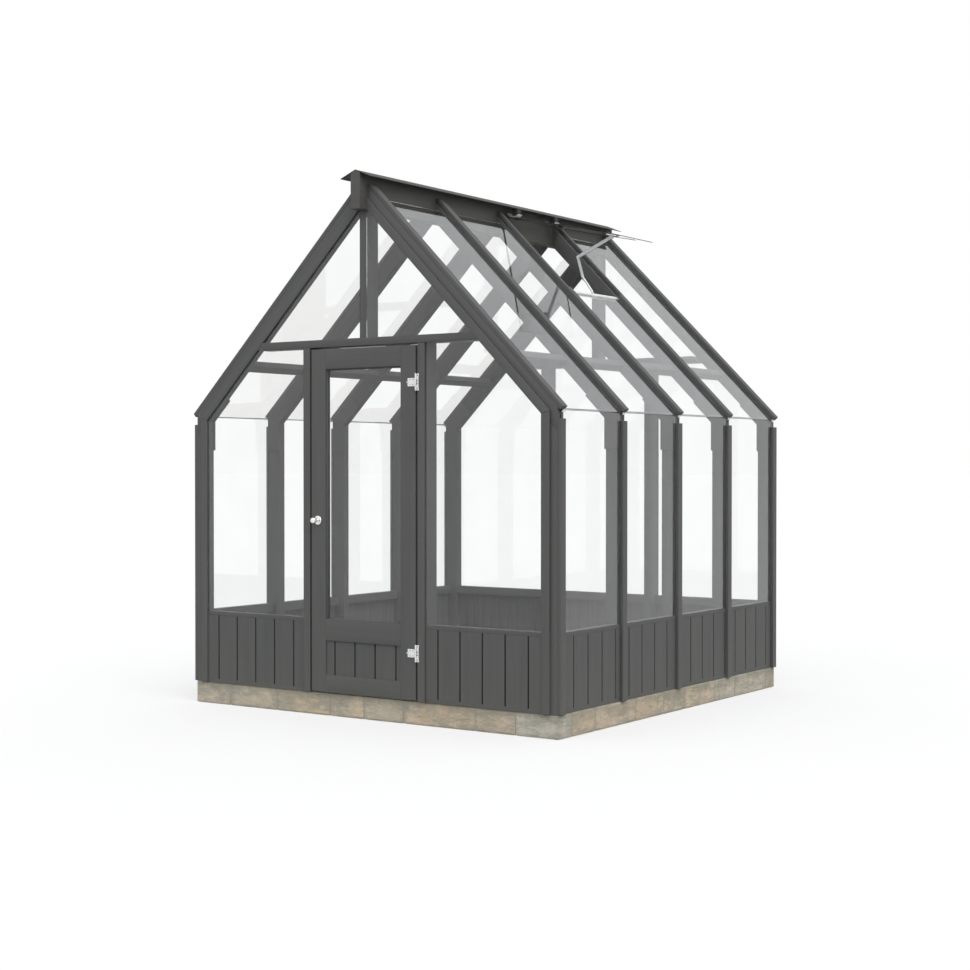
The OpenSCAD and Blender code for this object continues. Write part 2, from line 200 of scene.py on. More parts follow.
def cube_grids(n):
    """The six faces of a cube as grids of n by n points, closer towards the edges, and their
    quads, turned outwards."""
    line = np.linspace(-1, 1, n)
    line = np.sign(line) * np.abs(line) ** 0.6
    u, v = (g.ravel() for g in np.meshgrid(line, line, indexing="ij"))
    points, quads = [], []
    for axis in range(3):
        for sign in (1, -1):
            quads.append(grid_faces(n, n, len(points) * n * n)[:, ::sign])
            points.append(np.roll(np.stack([np.full(n * n, sign), u, v], 1), axis, 1))
    return np.concatenate(points), np.concatenate(quads)


def stone_course(start, along, out, total):
    """Blocks from start, end to end. Each is a cube's six grids, whose points beyond a core are
    drawn in to an arc round it, and whose faces are then moved in and out by soft waves."""
    count = max(2, round(total / stone_mean))
    spans = stone_draws.uniform(stone_short, stone_long, count)
    spans *= total / spans.sum()
    cube, quads = cube_grids(13)
    if np.cross(along, out)[2] < 0:
        quads = quads[:, ::-1]
    points, tones, ends = [], [], []
    for span, reach in zip(spans, np.cumsum(spans) - spans):
        half = np.array([(span - joint_w) / 2, plinth_t / 2, plinth_high[2] / 2 - bed_gap])
        tone = stone_draws.uniform()
        core = np.clip(cube * half, stone_edge - half, half - stone_edge)
        away = cube * half - core
        far = np.linalg.norm(away, axis=1, keepdims=True)
        local = core + away / np.maximum(far, 1e-9) * np.minimum(far, stone_edge)
        rough = soft_waves(local + tone * 9, np.random.default_rng(5), 28)
        rough += 0.7 * soft_waves(local + tone * 5, np.random.default_rng(6), 85)
        local[:, 1] -= np.sign(local[:, 1]) * (rough + 1.2) * stone_rough
        ends.append(half[0] - np.abs(local[:, 0]))
        local[:, 2] += half[2] + bed_gap
        middle = start + along * (reach + span / 2) - out * half[1]
        points.append(middle + local @ np.array([along, out, (0, 0, 1)]))
        tones.append(np.full(len(cube), tone))
    faces = [quads + k * len(cube) for k in range(count)]
    return [np.concatenate(part) for part in (points, faces, tones, ends)]


def node_material(name):
    """A node material, and the place on the object that its patterns read."""
    look = bpy.data.materials.new(name)
    look.use_nodes = True
    look.node_tree.nodes.clear()
    return look, new_node(look.node_tree, "TexCoord").outputs["Object"]


def held(place, name):
    """The value that each point holds under this name."""
    return new_node(place.id_data, "Attribute", attribute_name=name).outputs["Fac"]


def ramp(source, stops):
    """A colour ramp from (place, colour) stops."""
    node = new_node(source.id_data, "ValToRGB", {"Fac": source})
    elements = node.color_ramp.elements
    while len(elements) < len(stops):
        elements.new(0.5)
    for element, (place, colour) in zip(elements, stops):
        element.position = place
        element.color = (*colour, 1)
    return node.outputs["Color"]


def mixed(amount, first, second, how="MIX"):
    """Two colours mixed by an amount. The first is a socket, the others sockets or plain values."""
    node = new_node(first.id_data, "Mix", data_type="RGBA", blend_type=how)
    for socket, value in ((node.inputs[0], amount), (node.inputs[6], first), (node.inputs[7], second)):
        if isinstance(value, bpy.types.NodeSocket):
            node.id_data.links.new(value, socket)
        else:
            socket.default_value = value if isinstance(value, (int, float)) else (*value, 1)
    return node.outputs[2]


def noise(place, scale, detail=4, rough=0.6):
    """The value of a noise of this scale at a place."""
    return new_node(place.id_data, "TexNoise", {"Vector": place}, Scale=scale, Detail=detail,
                    Roughness=rough).outputs["Fac"]


def scaled(place, *scale):
    """A place drawn out or in by a factor along each axis."""
    return new_node(place.id_data, "Mapping", {"Vector": place}, Scale=scale).outputs["Vector"]


def surface(look, colour, rough, height, strength, distance, **values):
    """Ends a material: a Principled surface with colour, roughness and relief from sockets."""
    tree = look.node_tree
    relief = new_node(tree, "Bump", {"Height": height}, Strength=strength, Distance=distance)
    links = {"Base Color": colour, "Roughness": rough, "Normal": relief.outputs[0]}
    skin = new_node(tree, "BsdfPrincipled", links, **values)
    new_node(tree, "OutputMaterial", {"Surface": skin.outputs[0]})
    return look


def sandstone():
    """Tan to grey by block, clouded and grained; grey mortar near the ends of a block in a ragged
    line, a dark olive band that deepens towards the top, a darker foot, and pits."""
    look, at = node_material("sandstone")
    tint = ramp(held(at, "tone"), [
        (0, (0.80, 0.665, 0.50)), (0.3, (0.78, 0.625, 0.445)), (0.5, (0.82, 0.68, 0.50)),
        (0.66, (0.70, 0.63, 0.49)), (0.8, (0.80, 0.76, 0.67)), (1, (0.76, 0.655, 0.50))])
    along = scaled(at, 0.42, 0.42, 1.25)
    cloud = noise(along, 17, 6, 0.62)
    patch = noise(along, 46, 6, 0.70)
    grey = stretch(sums("ADD", sums("MULTIPLY", cloud, 0.7), sums("MULTIPLY", patch, 0.3)),
                   0.47, 0.56)
    colour = mixed(sums("MULTIPLY", grey, 0.70), tint, (0.50, 0.485, 0.405))
    pale = stretch(noise(along, 26, 5, 0.7), 0.50, 0.66)
    colour = mixed(sums("MULTIPLY", pale, 0.70), colour, (0.92, 0.80, 0.65))
    ragged = sums("ADD", held(at, "to_end"), sums("MULTIPLY", sums("SUBTRACT", patch, 0.5), -0.16))
    colour = mixed(stretch(ragged, 0.022, -0.004, 0, 0.45), colour, (0.46, 0.44, 0.37))
    height = height_of(at)
    wander = sums("MULTIPLY", sums("SUBTRACT", noise(at, 7, 7, 0.72), 0.5), 0.26)
    colour = mixed(stretch(sums("ADD", height, wander), 0.058, 0.118, 0, 0.66), colour,
                   (0.385, 0.37, 0.30))
    foot = sums("ADD", height, sums("MULTIPLY", patch, 0.06))
    colour = mixed(stretch(foot, 0.046, 0.022, 0, 0.50), colour, (0.40, 0.37, 0.30))
    grain = noise(at, 260, 3, 0.75)
    colour = mixed(1.0, colour, ramp(grain, [(0.30, (0.70, 0.68, 0.65)), (0.46, (0.98, 0.98, 0.98)),
                                                       (0.7, (1, 1, 1))]), "MULTIPLY")
    specks = stretch(noise(at, 120, 5, 0.8), 0.60, 0.70)
    colour = mixed(sums("MULTIPLY", specks, 0.55), colour, (0.19, 0.165, 0.12))
    pits = new_node(at.id_data, "TexVoronoi", {"Vector": at}, Scale=110).outputs["Distance"]
    pit = stretch(pits, 0.04, 0.16)
    colour = mixed(stretch(pit, 0, 1, 0.40, 0), colour, (0.15, 0.13, 0.10))
    relief = sums("ADD", sums("MULTIPLY", patch, 2.0), grain, pit)
    return surface(look, colour, stretch(grain, 0, 1, 0.82, 0.97), relief, 0.9, 0.005)


stone_look = sandstone()
east, north = np.array([1.0, 0, 0]), np.array([0, 1.0, 0])
side_l = plinth_high[1] - plinth_low[1] - 2 * plinth_t
for name, node, runs in (
        ("plinth_end_stones", "plinth_ends", [
            ((plinth_low[0], plinth_low[1], 0), east, -north, plinth_high[0] - plinth_low[0]),
            ((plinth_low[0], plinth_high[1], 0), east, north, plinth_high[0] - plinth_low[0])]),
        ("plinth_side_stones", "plinth_sides", [
            ((plinth_high[0], plinth_low[1] + plinth_t, 0), north, east, side_l),
            ((plinth_low[0], plinth_low[1] + plinth_t, 0), north, -east, side_l)])):
    points, faces, tones, ends = zip(*(stone_course(np.array(start, float), *run) for start, *run in runs))
    piece = new_piece(name, np.concatenate(points), np.concatenate([faces[0], faces[1] + len(points[0])]))
    point_values(piece, "tone", np.concatenate(tones))
    point_values(piece, "to_end", np.concatenate(ends))
    piece.data.materials.append(stone_look)
    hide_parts(node)

# The mortar is a ring set in a little behind the faces of the blocks, so it shows in the joints.
mortar_look, at = node_material("lime_mortar")
sand = noise(at, 300)
surface(mortar_look, ramp(sand, [(0.3, (0.36, 0.33, 0.27)), (0.7, (0.52, 0.485, 0.40))]),
        stretch(sand, 0, 1, 0.85, 0.98), sand, 0.5, 0.002)
inset = 0.0035
square = np.array([[-1, -1], [1, -1], [1, 1], [-1, 1]])
outer = square * (plinth_high[:2] - inset)
inner = square * (plinth_high[:2] - plinth_t + inset)
rings = [(outer, inset), (outer, plinth_high[2] - inset), (inner, plinth_high[2] - inset), (inner, inset)]
ring_faces = [(4 * k + i, 4 * k + (i + 1) % 4, 4 * ((k + 1) % 4) + (i + 1) % 4, 4 * ((k + 1) % 4) + i)
              for k in range(4) for i in range(4)]
ring_points = np.concatenate([np.column_stack([ring, np.full(4, z)]) for ring, z in rings])
mortar = new_piece("plinth_mortar", ring_points, ring_faces)
mortar.data.materials.append(mortar_look)

# ---- Frames ----
# Five frames of planed softwood, 45 mm thick and 84 mm deep, each of two posts and two rafters.
# The arrises are eased, and all the timber has two coats of a grey exterior paint.
timber_draws = np.random.default_rng(3)
arris = 0.0016
timber_t = 0.045
half_t = timber_t / 2
timber_w = 0.084
lean = math.sqrt(0.5)
east, north, up = np.eye(3)


def rounded(corners, radius, steps=3):
    """The points of an anticlockwise outline, each corner an arc from the outward normal of one
    side to that of the next, and the outward normals at those points."""
    p = np.array(corners, float)
    side = np.roll(p, -1, 0) - p
    normal = np.stack([side[:, 1], -side[:, 0]], 1) / np.linalg.norm(side, axis=1, keepdims=True)
    before = np.roll(normal, 1, 0)
    turn = np.sign(before[:, 0] * normal[:, 1] - before[:, 1] * normal[:, 0])[:, None]
    centre = p - turn * (before + normal) * radius / (1 + (before * normal).sum(1, keepdims=True))
    share = np.linspace(0, 1, steps + 1)[None, :, None]
    ways = before[:, None] * (1 - share) + normal[:, None] * share
    ways /= np.linalg.norm(ways, axis=2, keepdims=True)
    return (centre[:, None] + turn[:, None] * ways * radius).reshape(-1, 2), ways.reshape(-1, 2)


def rectangle(u0, u1, v0, v1, radius=arris):
    """A rounded rectangle between two values each way."""
    return rounded([(u0, v0), (u1, v0), (u1, v1), (u0, v1)], radius)


def bar(section, at, across, over, start, end, cuts=(None, None), ease=0.001, grain=None):
    """A section carried along the cross product of across and over, from start to end as measured
    from at. It stops on the planes through those places whose normals are cuts, or square, and is
    drawn in by ease at both ends. Gives the rings, their places along, and the way of the grain."""
    points, outward = section
    at, across, over = (np.array(v, float) for v in (at, across, over))
    along = np.cross(across, over)
    cuts = [along if cut is None else np.array(cut, float) for cut in cuts]
    rings, places = [], []
    for drawn, share, push in ((ease, 0, 0), (0, 0, ease), (0, 1, -ease), (ease, 1, 0)):
        flat = points - outward * drawn
        offset = flat[:, :1] * across + flat[:, 1:] * over
        low, high = (place - (offset @ cut) / (along @ cut) for place, cut in zip((start, end), cuts))
        places.append(low * (1 - share) + high * share + push)
        rings.append(at + offset + along * places[-1][:, None])
    return np.array(rings), np.array(places), along, grain


def through(section, y0, y1, **more):
    """A section in X and Z carried along Y between two places."""
    return bar(section, (0, 0, 0), east, up, -y1, -y0, **more)


def made_of(name, bars, look, replaced=(), body="greenhouse"):
    """Bars as one piece. Its map 'grain' runs along each bar in metres from a random start, or
    along the grain that the bar states. Its value 'tone' is a random number for each bar, and a
    third value is one at the points that a bar's shape picks out for painted shade, the grooves."""
    points, faces, maps, tones, dirt, count = [], [], [], [], [], 0
    for rings, places, along, grain, *shade_marks in bars:
        stations, n = places.shape
        offset = timber_draws.uniform(0, 40, 2)
        r, c = (g.ravel() for g in np.meshgrid(np.arange(stations - 1), np.arange(n), indexing="ij"))
        turn = (c + 1) % n
        quads = np.stack([r * n + c, r * n + turn, (r + 1) * n + turn, (r + 1) * n + c], 1)
        flat = rings.reshape(-1, 3)
        if grain is None:
            step = np.linalg.norm(np.roll(rings[1], -1, 0) - rings[1], axis=1)
            around = np.concatenate([[0], np.cumsum(step)])
            v = np.stack([around[c], around[c + 1], around[c + 1], around[c]], 1)
            maps.append(np.stack([places.ravel()[quads], v], 2).reshape(-1, 2) + offset)
            cap_map = flat[:, [0, 2]] * 0.3 + flat[:, [1]]
        else:
            sideways = np.cross(grain, along)
            maps.append(np.stack([flat[quads] @ grain, flat[quads] @ along], 2).reshape(-1, 2) + offset)
            cap_map = np.stack([flat @ grain, flat @ sideways], 1)
        caps = [np.arange(n)[::-1], np.arange(n) + (stations - 1) * n]
        maps += [cap_map[cap] + offset for cap in caps]
        faces += (quads + count).tolist() + [(cap + count).tolist() for cap in caps]
        points.append(flat)
        tones.append(np.full(stations * n, timber_draws.uniform()))
        # Points that a bar picks out get a one, to be painted dark as shade; the rest get nought.
        dirt.append(np.tile(shade_marks[0], stations) if shade_marks else np.zeros(stations * n))
        count += stations * n
    piece = new_piece(name, np.concatenate(points), faces, body)
    layer = piece.data.uv_layers.new(name="grain")
    layer.data.foreach_set("uv", np.concatenate(maps).ravel().astype(np.float32))
    point_values(piece, "tone", np.concatenate(tones))
    point_values(piece, "dirt", np.concatenate(dirt))
    piece.data.materials.append(look)
    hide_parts(*replaced)
    return piece


def painted_timber(name, shade):
    """Grey paint on planed timber: a tone for each timber, long streaks, fine ridges of grain that
    also change the gloss, soft blotches, dust low down and in patches, and painted shade, near
    black, at the points picked out in the grooves."""
    look, at = node_material(name)
    grain = new_node(look.node_tree, "UVMap", uv_map="grain").outputs["UV"]
    streak = noise(scaled(grain, 1.3, 24, 1), 1)
    ridge = noise(scaled(grain, 8, 380, 1), 1, 3, 0.55)
    low, high = (tuple(c * k for c in shade) for k in (0.91, 1.10))
    colour = ramp(streak, [(0.3, low), (0.5, shade), (0.72, high)])
    colour = mixed(1.0, colour, ramp(held(at, "tone"), [(0, (0.92, 0.93, 0.94)), (0.5, (0.97, 0.97, 0.97)),
                                                      (1, (1, 0.995, 0.98))]), "MULTIPLY")
    blotch = noise(at, 3.5, 3, 0.5)
    dusty = tuple(c * k for c, k in zip(shade, (1.10, 1.09, 1.04)))
    colour = mixed(stretch(blotch, 0.35, 0.65, 0, 0.35), colour, dusty)
    height = height_of(at)
    splash = sums("MULTIPLY", stretch(height, 0.36, 0.12), noise(at, 9, 5, 0.65))
    colour = mixed(sums("MULTIPLY", splash, 0.20), colour, (0.19, 0.175, 0.145))
    # Painted shade: the points picked out in the grooves are darkened almost to black.
    colour = mixed(sums("MULTIPLY", held(at, "dirt"), 0.8), colour, (0.022, 0.022, 0.020))
    relief = sums("ADD", ridge, streak)
    return surface(look, colour, stretch(ridge, 0.3, 0.7, 0.56, 0.72), relief, 0.35, 0.0008,
                   Specular_IOR_Level=0.4)


grey_paint = painted_timber("grey_paint", (0.107, 0.108, 0.107))
post_box, rafter_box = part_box("right_posts"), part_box("right_rafters")
post_in_x, post_x = post_box[0][0], post_box[1][0]
gable_y = -post_box[0][1]
plinth_z = post_box[0][2]
ridge_side_x = rafter_box[0][0]
ridge_line = rafter_box[1][2] + ridge_side_x
under_line = ridge_line - timber_w / lean
frame_ys = np.linspace(half_t - gable_y, gable_y - half_t, 5)


def on_slope(side, y, wide, offs, xs, cuts=(None, None), radius=arris, ease=0.001):
    """A timber up a roof slope: between two heights offs above the rafters' top faces, wide along
    the ridge about y, from xs[0] at its foot to xs[1] at its head; side is 1 right, -1 left."""
    return bar(rectangle(offs[0], offs[1], -wide / 2, wide / 2, radius), (0, y, ridge_line),
               (side * lean, 0, lean), (0, side, 0), -xs[0] / lean, -xs[1] / lean, cuts, ease)


def upright(x0, x1, y0, y1, z0, z1, cuts=(None, None), radius=arris):
    """A timber that stands on end, with eased arrises."""
    return bar(rectangle(*sorted((x0, x1)), *sorted((y0, y1)), radius), (0, 0, 0), east, north, z0, z1, cuts)


def level(x0, x1, y0, y1, z0, z1, cuts=(None, None), radius=arris):
    """A timber that lies along X, with eased arrises; its cuts go through its lower face."""
    return bar(rectangle(*sorted((y0, y1)), 0, z1 - z0, radius), (0, 0, z0), north, up, x0, x1, cuts)


for side, word in ((1, "right"), (-1, "left")):
    made_of(word + "_post_timbers",
            [upright(side * post_in_x, side * post_x, y - half_t, y + half_t, plinth_z,
                     under_line, (None, (side, 0, 1))) for y in frame_ys],
            grey_paint, [word + "_posts"])
    made_of(word + "_rafter_timbers",
            [on_slope(side, y, timber_t, (-timber_w, 0), (post_x, ridge_side_x), (east, east))
             for y in frame_ys], grey_paint, [word + "_rafters"])

# Plywood plates, 10 mm thick, are glued and screwed over the joint of each post and rafter, and
# square purlins run between the rafters, flush with their undersides.
plate_t = 0.010
knee_x, knee_z = post_in_x - 0.004, under_line - post_in_x - 0.004
leg = 0.160
run = leg * lean
plate_w = (timber_w + 0.002) * lean
plate_line = ridge_line - 0.002 / lean
plate_x = post_x - 0.002
outline = [(knee_x, knee_z - leg), (plate_x, knee_z - leg), (plate_x, plate_line - post_x + 0.002),
           (knee_x - run + plate_w, plate_line - knee_x + run - plate_w), (knee_x - run, knee_z + run),
           (knee_x, knee_z)]
plates = []
for y in frame_ys:
    near = y + half_t if y == frame_ys[0] else y - half_t - plate_t
    for corners in (outline, [(-x, z) for x, z in outline[::-1]]):
        plates.append(through(rounded(corners, 0.002), near, near + plate_t, grain=up))
made_of("knee_plate_boards", plates, grey_paint, ["knee_plates"])

purlin_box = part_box("purlins")
purlin_x = under_line + timber_t * lean - (purlin_box[0][2] + purlin_box[1][2]) / 2
purlins = [bar(rectangle(0, timber_t, -half_t, half_t),
               (side * purlin_x, 0, under_line - purlin_x), (side * lean, 0, lean), (-side * lean, 0, lean),
               -y1 + half_t if side > 0 else y0 + half_t,
               -y0 - half_t if side > 0 else y1 - half_t)
           for side in (1, -1) for y0, y1 in zip(frame_ys[:-1], frame_ys[1:])]
made_of("purlin_timbers", purlins, grey_paint, ["purlins"])

# ---- Ridge ----
# A ridge beam, 61 mm by 200 mm, its top planed to two slopes, runs out past both gables. Over it
# lies one length of dark coated sheet, folded along the middle.
beam_box, cap_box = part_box("ridge_beam"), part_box("ridge_cap")
beam_x, beam_y = beam_box[1][0], beam_box[1][1]
cap_x, cap_top = cap_box[1][0], cap_box[1][2]
sheet_t = 0.003
cap_fall = 0.040
beam_top = cap_top - sheet_t
beam_side = beam_top - cap_fall * beam_x / cap_x
beam_low = beam_box[0][2]
# The beam gets its own darker, warmer copy of the grey paint: painted shade from the ridge sheet above it.
weathered_paint = painted_timber("weathered_paint", (0.098, 0.096, 0.088))
beam_shape = rounded([(-beam_x, beam_low), (beam_x, beam_low), (beam_x, beam_side), (0, beam_top),
                      (-beam_x, beam_side)], arris)
made_of("ridge_timber", [through(beam_shape, -beam_y, beam_y, ease=0.002)], weathered_paint, ["ridge_beam"])


def coated_sheet():
    """Dark matt sheet: a faint mottle, long runs of dust and small changes of gloss."""
    look, at = node_material("coated_sheet")
    mottle = noise(at, 22, 6, 0.7)
    runs = noise(scaled(at, 30, 5, 30), 1, 4)
    colour = ramp(mottle, [(0.3, (0.019, 0.019, 0.020)), (0.7, (0.034, 0.034, 0.035))])
    colour = mixed(stretch(runs, 0.45, 0.8, 0, 0.35), colour, (0.075, 0.072, 0.066))
    return surface(look, colour, stretch(mottle, 0.3, 0.7, 0.50, 0.66), runs, 0.12, 0.001,
                   Specular_IOR_Level=0.35)


sheet_look = coated_sheet()
low_edge = cap_top - cap_fall
sheet_shape = rounded([(-cap_x, low_edge - sheet_t), (0, beam_top), (cap_x, low_edge - sheet_t),
                       (cap_x, low_edge), (0, cap_top), (-cap_x, low_edge)], sheet_t * 0.4)
made_of("ridge_sheet", [through(sheet_shape, -beam_y, beam_y)], sheet_look, ["ridge_cap"])

# ---- Gable timbers ----
# A tie crosses each gable under the rafters, with a king post above it and two posts below. In
# the front gable these carry the door.
tie_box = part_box("front_tie_beam")
tie_low, tie_high, stud_in = tie_box[0][2], tie_box[1][2], tie_box[1][1]
king_box, door_post_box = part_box("front_king_post"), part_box("door_posts")
king_x, king_out = king_box[1][0], king_box[0][1]
door_post_out = door_post_box[1][0]
door_post_in = door_post_out - timber_t
tie_foot = under_line - tie_low
glass_t = -gable_y - king_out
for sign, word in ((-1, "front"), (1, "back")):
    face_y, back_y = sign * gable_y, sign * -stud_in
    tie = level(-tie_foot, tie_foot, face_y, back_y, tie_low, tie_high, ((-1, 0, 1), (1, 0, 1)))
    made_of(word + "_tie_timber", [tie], grey_paint, [word + "_tie_beam"])
    king = upright(-king_x, king_x, sign * -king_out, back_y, tie_high, beam_low)
    lower = [upright(side * door_post_in, side * door_post_out, face_y, back_y, plinth_z, tie_low)
             for side in (1, -1)]
    if sign < 0:
        made_of("king_post_timber", [king], grey_paint, ["front_king_post"])
        made_of("door_post_timbers", lower, grey_paint, ["door_posts"])
    else:
        made_of("back_post_timbers", [king, *lower], grey_paint, ["back_posts"])

# ---- Sills ----
# A rail between the posts carries the glass. It is rebated over the top of the boarding, and its
# outer face is flush with it.
sill_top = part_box("front_sills")[1][2]
board_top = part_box("front_boarding")[1][2]
board_t = 0.016
sill_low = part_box("front_sills")[0][2]
sill_shape = rounded([(-glass_t, board_top), (board_t - glass_t, board_top), (board_t - glass_t, sill_low),
                      (timber_t, sill_low), (timber_t, sill_top), (-glass_t, sill_top)], arris)
bays = [(y0 + half_t, y1 - half_t) for y0, y1 in zip(frame_ys[:-1], frame_ys[1:])]
made_of("front_sill_rails", [bar(sill_shape, (0, -gable_y, 0), north, up, *ends)
                             for ends in ((door_post_out, post_in_x), (-post_in_x, -door_post_out))],
        grey_paint, ["front_sills"])
made_of("back_sill_rails", [bar(sill_shape, (0, gable_y, 0), -north, up, *ends)
                            for ends in ((door_post_out, post_in_x), (-door_post_in, door_post_in),
                                         (-post_in_x, -door_post_out))],
        grey_paint, ["back_sills"])
side_sills = [bar(sill_shape, (post_x, 0, 0), -east, up, y0, y1) for y0, y1 in bays]
side_sills += [bar(sill_shape, (-post_x, 0, 0), east, up, -y1, -y0) for y0, y1 in bays]
made_of("side_sill_rails", side_sills, grey_paint, ["side_sills"])

# ---- Boarding ----
# Upright boards, 136 mm wide and 16 mm thick, are tongued and grooved into each other with a deep
# square groove outside, and are reeded inside. They stand on a bottom rail of the same thickness.
board_pitch = 0.1364
rail_h = 0.020
slot_half, slot_d = 0.0042, 0.0095
tongue_l = 0.004
reed_w, reed_d = 0.0016, 0.0028


def board_shape(u0, u1, first, last):
    """The plan of one board: its back with three notches, its right side with a slot, its face
    rebated at each edge, and its left side with a tongue; a first or last edge is plain."""
    inner = -board_t
    shape = [(u0, inner)]
    notches = max(1, round((u1 - u0) / 0.034))
    for place in np.linspace(u0, u1, notches + 1)[1:-1]:
        shape += [(place - reed_w, inner), (place, inner + reed_d), (place + reed_w, inner)]
    shape.append((u1, inner))
    if not last:
        shape += [(u1, inner + 0.0017), (u1 - tongue_l, inner + 0.0017), (u1 - tongue_l, inner + 0.0050),
                  (u1, inner + 0.0050), (u1, -slot_d), (u1 - slot_half, -slot_d), (u1 - slot_half, 0)]
    else:
        shape.append((u1, 0))
    if not first:
        shape += [(u0 + slot_half, 0), (u0 + slot_half, -slot_d), (u0, -slot_d), (u0, inner + 0.0047),
                  (u0 - tongue_l + 0.0004, inner + 0.0047), (u0 - tongue_l + 0.0004, inner + 0.0020),
                  (u0, inner + 0.0020)]
    else:
        shape.append((u0, 0))
    return rounded(shape, 0.0004, 1)


def boarding(at, across, out, splits, z0, z1, rail=rail_h):
    """Boards between neighbouring splits across a wall whose face passes through at, and a bottom
    rail of this height below them."""
    flip = np.cross(across, out)[2] < 0

    def stand(section, low, high, **more):
        return bar(section, at, across, out, *((-high, -low) if flip else (low, high)), **more)

    low = z0 + rail
    made = []
    for k, (u0, u1) in enumerate(zip(splits[:-1], splits[1:])):
        shape = board_shape(u0, u1, k == 0, k == len(splits) - 2)
        # The points inside the outer groove, which are painted dark as shade.
        shade_marks = (shape[0][:, 1] < -0.001) & (shape[0][:, 1] > -slot_d - 0.001)
        made.append((*stand(shape, low, z1, ease=0.0003), shade_marks))
    if rail:
        foot = rectangle(splits[0], splits[-1], -board_t, 0, 0.0004)
        made.append(stand(foot, z0, low, ease=0.0002, grain=across))
    return made


def splits_between(u0, u1, place, pitch=board_pitch):
    """Both ends, and the joints between them of boards of this pitch through a place."""
    joints = place + pitch * np.arange(-30, 31)
    return [u0, *joints[(joints > u0 + 0.012) & (joints < u1 - 0.012)], u1]


face = gable_y + glass_t
first_joint = 0.4797
front_face, back_face = ((0, -face, 0), east, -north), ((0, face, 0), east, north)
front, back = [], []
for side in (1, -1):
    near, far = sorted((side * door_post_out, side * post_in_x))
    splits = splits_between(near, far, side * first_joint)
    front += boarding(*front_face, splits, plinth_z, board_top)
    back += boarding(*back_face, splits, plinth_z, board_top)
back += boarding(*back_face, splits_between(-door_post_in, door_post_in, 0), plinth_z, board_top)
made_of("front_dado_boards", front, grey_paint, ["front_boarding"])
made_of("back_dado_boards", back, grey_paint, ["back_boarding"])
side_joint, side_pitch = 0.0174, 0.136
for side, word in ((1, "right"), (-1, "left")):
    made = []
    for y0, y1 in bays:
        made += boarding((side * (post_x + glass_t), 0, 0), north, side * east,
                         splits_between(y0, y1, side_joint, side_pitch), plinth_z, board_top)
    made_of(word + "_dado_boards", made, grey_paint, [word + "_boarding"])

# ---- Battens ----
# Flat battens are screwed over the edges of the panes: 9 mm ones on the gables, mitred where
# post meets rafter, 17 mm ones on the side posts, and deeper ones up the rafters, half as wide
# beside the vent. Each is packed out with a thin strip where there is no glass behind it.
gable_batten_t = -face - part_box("front_battens")[0][1]
wall_batten_x, wall_batten_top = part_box("wall_battens")[1][0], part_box("wall_battens")[1][2]
eave_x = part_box("right_roof_glass")[1][0] - glass_t * lean
roof_batten_t = (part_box("roof_battens")[1][0] - eave_x) / lean
mitre = math.tan(math.radians(22.5))
gap = 0.001
strip_arris = 0.0005
corner_out = post_in_x + timber_t


def gable_battens(sign):
    """The battens of the front gable, -1, or the back one, 1."""
    out_y, face_y, post_y = sign * (face + gable_batten_t), sign * face, sign * gable_y
    low_line = under_line - gap
    made = []
    for side in (1, -1):
        corner = sorted((side * post_in_x, side * corner_out))
        made.append(upright(*corner, out_y, face_y, plinth_z, low_line - post_in_x * (1 + mitre),
                            (None, (-side * mitre, 0, 1))))
        made.append(upright(*corner, face_y, post_y, plinth_z, sill_top, radius=strip_arris))
        made.append(on_slope(side, sign * (face + gable_batten_t / 2), gable_batten_t,
                             (-timber_w, timber_t - timber_w), (post_x, beam_x),
                             ((-side * mitre, 0, 1), east)))
    for x in (-door_post_out, door_post_in):
        made.append(upright(x, x + timber_t, out_y, face_y, plinth_z, tie_low - gap))
        made.append(upright(x, x + timber_t, face_y, post_y, plinth_z, sill_top, radius=strip_arris))
    foot = low_line - tie_low
    made.append(level(-foot, foot, out_y, face_y, tie_low, tie_high, ((-1, 0, 1), (1, 0, 1))))
    return made


made_of("front_cover_battens", gable_battens(-1), grey_paint, ["front_battens"])
made_of("back_cover_battens", gable_battens(1), grey_paint, ["back_battens"])

vent_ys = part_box("vent_glass")[0][1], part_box("vent_glass")[1][1]
half_batten_foot = 0.0085
vent_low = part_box("vent_crossbar")[1][0] - half_batten_foot
walls, slopes = [], []
for side in (1, -1):
    pane_x = post_x + glass_t
    for y in frame_ys:
        near, far = y - half_t, y + half_t
        walls.append(upright(side * pane_x, side * wall_batten_x, near, far, plinth_z, wall_batten_top))
        walls.append(upright(side * post_x, side * pane_x, near, far, plinth_z, sill_top, radius=strip_arris))
        ends = (eave_x - glass_t * lean, beam_x - glass_t * lean)
        offs = (glass_t, glass_t + roof_batten_t)
        if side > 0 and vent_ys[0] - timber_t < y < vent_ys[1] + timber_t:
            outer_y = y + (-1 if y < sum(vent_ys) / 2 else 1) * timber_t / 4
            change = vent_low - glass_t * lean
            slopes.append(on_slope(side, y, timber_t, offs, (ends[0], change), ease=0.0015))
            slopes.append(on_slope(side, outer_y, half_t, offs, (change, ends[1])))
            continue
        slopes.append(on_slope(side, y, timber_t, offs, ends, ease=0.0015))
    for y in (-gable_y, gable_y - half_t):
        walls.append(upright(side * post_x, side * pane_x, y, y + half_t, sill_top, wall_batten_top,
                             radius=strip_arris))
        slopes.append(on_slope(side, y + timber_t / 4, half_t, (0, glass_t),
                               (eave_x - glass_t * lean, beam_x), radius=strip_arris))
made_of("wall_cover_battens", walls, grey_paint, ["wall_battens"])
made_of("roof_cover_battens", slopes, grey_paint, ["roof_battens"])
